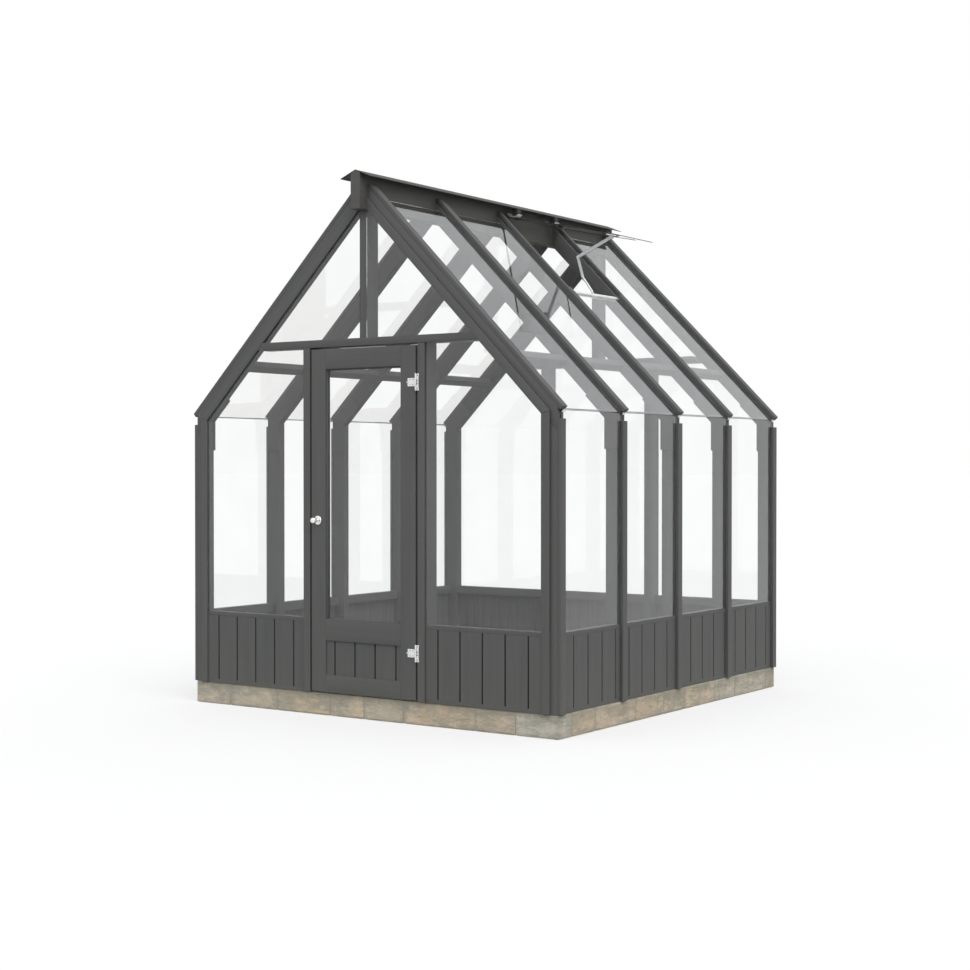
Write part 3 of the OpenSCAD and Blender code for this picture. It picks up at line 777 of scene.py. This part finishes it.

# ---- Glass ----
# Clear float glass 4 mm thick, with a little dust. The panes lie on the frames
# under the battens. Lamps shine through them.


def clear_glass(name, gloss, sheen=(1, 1, 1, 1)):
    """Clear glass with faint patches of dust in its colour and roughness, this much gloss, and a
    tint of that gloss, which paints a coloured reflection into it."""
    look, at = node_material(name)
    tree = look.node_tree
    dust = noise(at, 5, 5, 0.65)
    tint = ramp(dust, [(0.3, (0.962, 0.972, 0.968)), (0.7, (0.985, 0.990, 0.988))])
    links = {"Base Color": tint, "Roughness": stretch(dust, 0.4, 0.8, 0, 0.03)}
    skin = new_node(tree, "BsdfPrincipled", links, IOR=1.45, Specular_IOR_Level=gloss,
                    Specular_Tint=sheen, Transmission_Weight=1.0)
    clear = new_node(tree, "BsdfTransparent", Color=(0.88, 0.89, 0.89, 1))
    shadow = new_node(tree, "LightPath").outputs["Is Shadow Ray"]
    both = new_node(tree, "MixShader", {0: shadow, 1: skin.outputs[0], 2: clear.outputs[0]})
    new_node(tree, "OutputMaterial", {"Surface": both.outputs[0]})
    return look


# All panes are one glass, but the gloss differs by where they stand, weaker on the gables and stronger on the
# side walls, and the roof's gloss is tinted blue: painted reflection, with a painted blue sky in the roof
# glass.
painted_sky_tint = (0.74, 0.86, 1.0, 1)
gables = "front_windows", "front_gable_glass", "back_windows", "back_gable_glass", "door_glass"
roofs = "left_roof_glass", "right_roof_glass", "vent_glass"
for look, nodes in ((clear_glass("gable_glass", 0.02), gables),
                    (clear_glass("roof_glass", 0.035, painted_sky_tint), roofs),
                    (clear_glass("wall_glass", 0.11), ("left_wall_glass", "right_wall_glass"))):
    for node in nodes:
        frame["nodes"][node].data.materials.clear()
        frame["nodes"][node].data.materials.append(look)


def plain_look(name, low, high, rough, scale=160, relief=0.1, **values):
    """Two tones of one colour in a fine mottle, which also changes the gloss and the relief."""
    look, at = node_material(name)
    mottle = noise(at, scale)
    return surface(look, ramp(mottle, [(0.3, low), (0.7, high)]), stretch(mottle, 0.3, 0.7, *rough),
                   mottle, relief, 0.0005, **values)


# A soft black strip beds the roof glass on the top edge of each wall pane, and clips of thin
# stainless strip hold up the lower ends of the roof panes under the battens.
rubber = plain_look("black_strip", (0.010, 0.010, 0.010), (0.022, 0.022, 0.022), (0.7, 0.9), 220)
strip_w, strip_h = 0.0035, 0.005
strip_top = ridge_line - post_x - glass_t - strip_w - 0.0005
strips = []
for side in (1, -1):
    edge = sorted((side * (post_x + glass_t + 0.0001), side * (post_x + glass_t + strip_w)))
    for y0, y1 in bays:
        shape = rectangle(*edge, strip_top - strip_h, strip_top, 0.001)
        strips.append(through(shape, y0, y1))
made_of("eave_strips", strips, rubber)

steel = plain_look("bright_steel", (0.70, 0.71, 0.72), (0.84, 0.84, 0.85), (0.24, 0.40), Metallic=1.0)
clip_w, clip_t, clip_l, clip_drop = 0.030, 0.0012, 0.0085, 0.010
hooks = []
for side in (1, -1):
    across, over = (side * lean, 0, lean), (0, side, 0)
    foot = -(eave_x - 0.0002) / lean
    under = rectangle(-clip_t - 0.0002, -0.0002, -clip_w / 2, clip_w / 2, 0.0003)
    lip = rectangle(-clip_drop, glass_t - 0.0004, -clip_w / 2, clip_w / 2, 0.0004)
    for y in frame_ys:
        inner_y = y - np.sign(y) * clip_w / 2 if abs(y) > gable_y - timber_t else y
        at = (0, inner_y, ridge_line)
        hooks.append(bar(under, at, across, over, foot - 0.0002, foot + clip_l, ease=0.0002))
        hooks.append(bar(lip, at, across, over, foot - clip_t - 0.0002, foot - 0.0003, ease=0.0002))
made_of("eave_clips", hooks, steel)

# ---- Roof vent ----
# The pane hangs from the ridge in one bay and stands a little open. Its upper edge and most of
# its sides are bound in a dark channel, and two hinges, each a curved pale strap with a dark
# block in it, hold it under the ridge sheet.
vent_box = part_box("vent_glass")
vent_slope = math.radians(11.8)
pane_way = np.array([math.cos(vent_slope), 0, -math.sin(vent_slope)])
pane_out = np.array([math.sin(vent_slope), 0, math.cos(vent_slope)])
pane_top = np.array([vent_box[0][0], 0, vent_box[1][2] - glass_t * pane_out[2]])
vent_y0, vent_y1 = vent_ys
vent_mid = (vent_y0 + vent_y1) / 2
lip_t, lip_w, slack = 0.0016, 0.009, 0.0002


def edge_channel(wide):
    """The section of a channel round the edge of the pane, with lips this wide."""
    inner, outer = glass_t + slack, glass_t + lip_t
    return rounded([(-lip_t, -lip_t), (wide, -lip_t), (wide, -slack), (-slack, -slack), (-slack, inner),
                    (wide, inner), (wide, outer), (-lip_t, outer)], 0.0004, 2)


fittings = [bar(edge_channel(lip_w), pane_top, pane_way, pane_out, -vent_y1, -vent_y0)]
side_w, side_l = 0.006, 0.530
for y, inward in ((vent_y0, 1), (vent_y1, -1)):
    ends = sorted((inward * (lip_w + 0.0005), inward * side_l))
    fittings.append(bar(edge_channel(side_w), pane_top + north * y, north * inward, pane_out, *ends))
hinge_half, hinge_apart, rim_t, rim_past = 0.019, 0.203, 0.0036, 0.002
turn = np.linspace(math.radians(196), math.radians(318), 14)
centre = np.array([beam_x + 0.048, pane_top[2] + 0.046])
ways = np.stack([np.cos(turn), np.sin(turn)], 1)
arc = centre + ways * (0.046, 0.038) - (0, 0.0002)
arc_in = centre + ways * (0.046 - rim_t, 0.038 - rim_t) - (0, 0.0002)
rim = rounded([*arc, *arc_in[::-1]], 0.0003, 1)
block = rectangle(centre[0] - 0.006, arc[-1][0] - 0.006, centre[1] - 0.024, centre[1] + 0.008, 0.002)
plate = rectangle(-0.002, 0.040, -0.0045, -0.0018, 0.0006)
rims = []
for y in (vent_mid - hinge_apart, vent_mid + hinge_apart):
    fittings.append(through(block, y - hinge_half, y + hinge_half))
    rims.append(through(rim, y - hinge_half - rim_past, y + hinge_half + rim_past, ease=0.0003))
    fittings.append(bar(plate, pane_top, pane_way, pane_out, -y - hinge_half, -y + hinge_half))
made_of("vent_hinge_bodies", fittings, sheet_look, ["vent_hinges"])
alloy = plain_look("pale_alloy", (0.84, 0.85, 0.86), (0.93, 0.94, 0.95), (0.34, 0.50), 240, Metallic=0.1)
made_of("vent_hinge_rims", rims, alloy)

# ---- Vent rail and opener ----
# A channel of pale alloy crosses the opening between two rafters. A self acting opener of the
# same metal stands on it: a slim cylinder, two lower arms, and an upper arm up to the pane.
rail_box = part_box("vent_crossbar")
rail_y0, rail_y1 = rail_box[0][1], rail_box[1][1]
rail_drop, rail_d, wall_t, lip_d = 0.0005, 0.020, 0.0018, 0.0042
down_slope, square_out = np.array([lean, 0, -lean]), np.array([lean, 0, lean])
rail_x = rail_box[1][0] - rail_d * lean
rail_start = rail_box[0][0]
rail_w = (rail_x - rail_start) / lean
rail_top = rail_start + rail_d * lean
rail_at = np.array([rail_top, 0, ridge_line - rail_top - rail_drop / lean])
w, t, d, e = rail_w, wall_t, rail_d, lip_d
channel = rounded([(0, -d), (w, -d), (w, e - d), (w - t, e - d), (w - t, t - d), (t, t - d), (t, -t),
                   (w - t, -t), (w - t, -e), (w, -e), (w, 0), (0, 0)], 0.0004, 2)
rail_parts = [bar(channel, rail_at, down_slope, square_out, -rail_y1 + 0.0005, -rail_y0 - 0.0005,
                  ease=0.0002)]
for y in (rail_y0 + 0.0012, rail_y1 - 0.0012):
    end_plate = rectangle(t + 0.0002, w - t - 0.0002, t - d + 0.0002, -t - 0.0002, 0.0008)
    rail_parts.append(bar(end_plate, rail_at, down_slope, square_out, -y - 0.0006, -y + 0.0006, ease=0.0002))
opener_y = vent_mid
clamp = rectangle(w - t - 0.001, w + 0.0022, -d - 0.002, 0.0003, 0.001)
rail_parts.append(bar(clamp, rail_at, down_slope, square_out, -opener_y - 0.017, -opener_y + 0.017))
made_of("vent_rail_parts", rail_parts, alloy, ["vent_crossbar"])


def turned(profile, at, along, n=28):
    """A profile of (radius, place) pairs turned round a line from at along a way: each pair is
    one circle of n points."""
    radii, places = np.array(profile, float).T
    along = np.array(along, float) / np.linalg.norm(along)
    across = np.cross(along, up if abs(along[2]) < 0.9 else east)
    across /= np.linalg.norm(across)
    over = np.cross(along, across)
    angle = np.arange(n) * 2 * math.pi / n
    circle = np.cos(angle)[:, None] * across + np.sin(angle)[:, None] * over
    rings = np.array(at, float) + circle[None] * radii[:, None, None] + along * places[:, None, None]
    return rings, np.repeat(places[:, None], n, 1), along, None


def strap(a, b, wide, y0, y1, over_end=0.5):
    """A flat bar with round ends between two places in X and Z, from y0 to y1."""
    a, b = np.array([a[0], 0, a[1]]), np.array([b[0], 0, b[1]])
    way = (b - a) / np.linalg.norm(b - a)
    aside = np.cross(north, way)
    reach = wide * over_end
    shape = rectangle(-reach, np.linalg.norm(b - a) + reach, -wide / 2, wide / 2, wide * 0.49)
    flip = np.cross(way, -aside)[1] < 0
    return bar(shape, a, way, -aside, *((-y1, -y0) if flip else (y0, y1)), ease=0.0003)


foot = np.array([rail_x - 0.001 + 0.006, ridge_line - rail_x - 0.002])
knee, elbow = np.array([0.413, 2.418]), np.array([0.379, 2.536])
lug_reach, lug_drop = 0.538, 0.012
head = (pane_top + pane_way * lug_reach - pane_out * lug_drop)[[0, 2]]
lift = knee - foot
length = np.linalg.norm(lift)
body_way = np.array([lift[0], 0, lift[1]]) / length
opener = [turned([(0.0035, 0), (0.0042, 0.001), (0.0042, 0.012), (0.0060, 0.016), (0.0063, 0.020),
                  (0.0063, length - 0.014), (0.0056, length - 0.008), (0.0040, length - 0.004),
                  (0.0040, length + 0.003), (0.0034, length + 0.004)],
                 (foot[0], opener_y, foot[1]), body_way)]
for sign in (-1, 1):
    near, far = sorted((opener_y + sign * 0.0068, opener_y + sign * 0.0088))
    opener.append(strap(knee, elbow, 0.0085, near, far))
for place, reach, radius in ((knee, 0.0105, 0.0032), (elbow, 0.0110, 0.0036), (head, 0.0110, 0.0032)):
    pin = [(radius * 0.8, 0), (radius, 0.0005), (radius, 2 * reach - 0.0005), (radius * 0.8, 2 * reach)]
    opener.append(turned(pin, (place[0], opener_y - reach, place[1]), north, 20))
upper_way = head - elbow
aside = np.array([-upper_way[1], upper_way[0]]) / np.linalg.norm(upper_way)
opener.append(strap(elbow, head, 0.0180, opener_y - 0.0018, opener_y + 0.0018))
for shift in (-0.0072, 0.0072):
    for near, far in ((-0.0050, -0.0019), (0.0019, 0.0050)):
        opener.append(strap(elbow + aside * shift, head + aside * shift, 0.0024, opener_y + near,
                            opener_y + far, 0))
plate = rectangle(0.508, 0.558, -0.0040, -0.0002, 0.0008)
opener.append(bar(plate, pane_top, pane_way, pane_out, -opener_y - 0.014, -opener_y + 0.014))
for sign in (-1, 1):
    ear = rounded([(0.529, -0.021), (0.547, -0.021), (0.547, -0.0042), (0.529, -0.0042)], 0.003)
    near = -opener_y + sign * 0.0085
    opener.append(bar(ear, pane_top, pane_way, pane_out, near - 0.0010, near + 0.0010, ease=0.0002))
made_of("vent_opener_parts", opener, alloy, ["vent_opener"])

# ---- Door leaf ----
# A framed door, 42 mm thick: two stiles over the full height, three rails between them, a boarded
# panel below and one pane above, held by beads.
stile_box, leaf_rail_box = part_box("door_stiles"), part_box("door_rails")
door_glass_box, door_board_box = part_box("door_glass"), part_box("door_boarding")
leaf_x, leaf_y0, leaf_y1 = stile_box[1][0], stile_box[0][1], stile_box[1][1]
leaf_z0, leaf_z1 = stile_box[0][2], stile_box[1][2]
stile_in = leaf_rail_box[1][0]
panel_z0, panel_z1 = door_board_box[0][2], door_board_box[1][2]
pane_z0, pane_z1 = door_glass_box[0][2], door_glass_box[1][2]
leaf_arris = 0.0022
door_paint = painted_timber("door_paint", (0.106, 0.107, 0.106))
made_of("door_stile_timbers",
        [upright(side * stile_in, side * leaf_x, leaf_y0, leaf_y1, leaf_z0, leaf_z1, radius=leaf_arris)
         for side in (1, -1)], door_paint, ["door_stiles"], "door")
made_of("door_rail_timbers",
        [level(-stile_in, stile_in, leaf_y0, leaf_y1, z0, z1, radius=leaf_arris)
         for z0, z1 in ((pane_z1, leaf_z1), (panel_z1, pane_z0), (leaf_z0, panel_z0))],
        door_paint, ["door_rails"], "door")
leaf_splits = [-stile_in, -0.192, -0.057, 0.077, 0.213, stile_in]
made_of("door_panel_boards",
        boarding((0, door_board_box[0][1], 0), east, -north, leaf_splits, panel_z0, panel_z1, 0),
        door_paint, ["door_boarding"], "door")

# Quarter round beads, mitred at the corners, hold the pane on both faces.
bead_w, bead_d, bead_clear, bead_fit = 0.007, 0.009, 0.0004, 0.0003


def bead_frame(x0, x1, z0, z1, y_glass, out):
    """Four mitred beads round an opening, on the face of the glass that looks along out."""
    shape = rounded([(0, 0), (bead_d, 0), (bead_d, bead_w * 0.35), (bead_d * 0.45, bead_w),
                     (0, bead_w)], 0.0008)
    made = []
    for at, inward, reach in (((x0, y_glass, z0), up, x1 - x0), ((x1, y_glass, z0), -east, z1 - z0),
                              ((x1, y_glass, z1), -up, x1 - x0), ((x0, y_glass, z1), east, z1 - z0)):
        along = np.cross((0, out, 0), inward)
        made.append(bar(shape, at, (0, out, 0), inward, *sorted((0, out * reach)),
                        (along - inward, along + inward), ease=0.0002))
    return made


beads = []
for out, y_glass in ((-1, door_glass_box[0][1] - bead_clear), (1, door_glass_box[1][1] + bead_clear)):
    beads += bead_frame(-stile_in + bead_fit, stile_in - bead_fit, pane_z0 + bead_fit, pane_z1 - bead_fit,
                        y_glass, out)
made_of("door_glass_beads", beads, door_paint, body="door")

# ---- Hinges ----
# Two zinc plated hinges: a broad leaf pressed into two lobes on the door and a narrow one on the
# post, each held by slotted screws, and turning on a pin through three barrels.
joint = frame["record"]["behaviour"]["joints"][0]
pin_x, pin_y = joint["pos_m"][:2]
hinge_zs = [(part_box("door_straps")[0][2] + 0.021), (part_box("door_straps")[1][2] - 0.021)]
leaf_t = 0.003
barrel_r, barrel_h = 0.0042, 0.028
zinc = plain_look("zinc_plate", (0.80, 0.81, 0.82), (0.90, 0.91, 0.92), (0.38, 0.52), 300, 0.15,
                  Metallic=0.55)
narrow_leaf = [(4.6, -42), (11, -44.5), (18, -42), (17, -33), (15.5, -28), (15.5, 28), (17, 33), (18, 42),
               (11, 44.5), (4.6, 42)]
finial = [(0.0028, 0), (0.0036, 0.0008), (0.0034, 0.0020), (0.0020, 0.0030), (0.0008, 0.0034)]
screw_r, screw_t, slot_w = 0.0031, 0.0007, 0.0009
screw_draws = np.random.default_rng(8)


def screw(x, z):
    """A round head in two halves with the slot between them, turned by chance."""
    spin = screw_draws.uniform(0, math.pi)
    first = math.asin(slot_w / 2 / screw_r)
    halves = []
    for half in (0, math.pi):
        angle = np.linspace(first, math.pi - first, 12) + half + spin
        ways = np.stack([np.cos(angle), np.sin(angle)], 1)
        halves.append(through((ways * screw_r + (x, z), ways), leaf_y0 - leaf_t - screw_t, leaf_y0 - leaf_t,
                              ease=0.0003))
    return halves


def barrel(z0, z1):
    """One barrel round the pin, its ends a little rounded."""
    r = barrel_r
    profile = [(r - 0.0008, 0), (r, 0.0008), (r, z1 - z0 - 0.0008), (r - 0.0008, z1 - z0)]
    return turned(profile, (pin_x, pin_y, z0), up)


def pressed(outline, thick=leaf_t, radius=0.0016):
    """A flat shape on the door's face, from its outline in metres."""
    return through(rounded(outline, radius), leaf_y0 - thick, leaf_y0, ease=0.0004)


def block_outline(x0, x1, z0, z1):
    """A rectangle about the pin, in metres."""
    return [(pin_x + x0, z0), (pin_x + x1, z0), (pin_x + x1, z1), (pin_x + x0, z1)]


door_leaves, post_leaves, door_screws, post_screws = [], [], [], []
for z in hinge_zs:
    door_leaves.append(pressed(block_outline(-0.050, -0.008, z - 0.019, z + 0.019), 0.0014, 0.003))
    for sign in (-1, 1):
        low, high = sorted((z + sign * 0.0052, z + sign * 0.021))
        door_leaves.append(pressed(block_outline(-0.054, -0.011, low, high), leaf_t, 0.0035))
        for dx in (-0.0385, -0.020):
            door_screws += screw(pin_x + dx, z + sign * 0.0133)
    door_leaves.append(pressed(block_outline(-0.061, -0.004, z - 0.0036, z + 0.0036), leaf_t, 0.0030))
    door_leaves.append(barrel(z - barrel_h / 2 + 0.001, z + barrel_h / 2 - 0.001))
    post_leaves.append(pressed([(pin_x + x / 1000, z + dz / 1000) for x, dz in narrow_leaf]))
    for sign in (-1, 1):
        low, high = sorted((z + sign * barrel_h / 2, z + sign * 3 * barrel_h / 2))
        post_leaves.append(barrel(low, high))
        post_leaves.append(pressed(block_outline(0, 0.0055, low, high), leaf_t - 0.0002, 0.0004))
        post_leaves.append(turned(finial, (pin_x, pin_y, z + sign * 3 * barrel_h / 2), (0, 0, sign)))
    for dz in (-0.034, -0.008, 0.008, 0.034):
        post_screws += screw(pin_x + 0.0103, z + dz)
made_of("door_hinge_leaves", door_leaves, zinc, ["door_straps"], "door")
made_of("post_hinge_leaves", post_leaves, zinc, ["hinge_plates"])
dull_steel = plain_look("dull_screws", (0.20, 0.20, 0.20), (0.34, 0.34, 0.34), (0.40, 0.60), 400,
                        Metallic=0.8)
made_of("door_hinge_screws", door_screws, dull_steel, body="door")
made_of("post_hinge_screws", post_screws, dull_steel)

# ---- Knob ----
# A turned knob of satin metal on a round rose, standing on the outer face of the left stile and
# held by a spindle through it.
knob_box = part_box("door_knob")
knob_x, knob_z = ((knob_box[0][k] + knob_box[1][k]) / 2 for k in (0, 2))
rose_r = (knob_box[1][0] - knob_box[0][0]) / 2
knob_reach = knob_box[1][1] - knob_box[0][1]
ball_r, neck_r = 0.0175, 0.0075
swell = np.radians(np.linspace(-62, 86, 22))
knob_shape = [(rose_r - 0.0006, 0.0001), (rose_r, 0.0008), (rose_r - 0.0004, 0.0022),
              (rose_r - 0.0030, 0.0042), (rose_r - 0.0065, 0.0047), (neck_r + 0.0050, 0.0052),
              (neck_r + 0.0020, 0.0066), (neck_r, 0.0100), (neck_r, 0.0150)]
knob_shape += [(ball_r * math.cos(a), knob_reach - ball_r + ball_r * math.sin(a)) for a in swell]
satin = plain_look("satin_metal", (0.74, 0.74, 0.73), (0.86, 0.86, 0.85), (0.20, 0.32), 350, 0.05,
                   Metallic=1.0)
knob_parts = [turned(knob_shape, (knob_x, leaf_y0, knob_z), (0, -1, 0), 48)]
made_of("door_knob_turned", knob_parts, satin, ["door_knob"], "door")
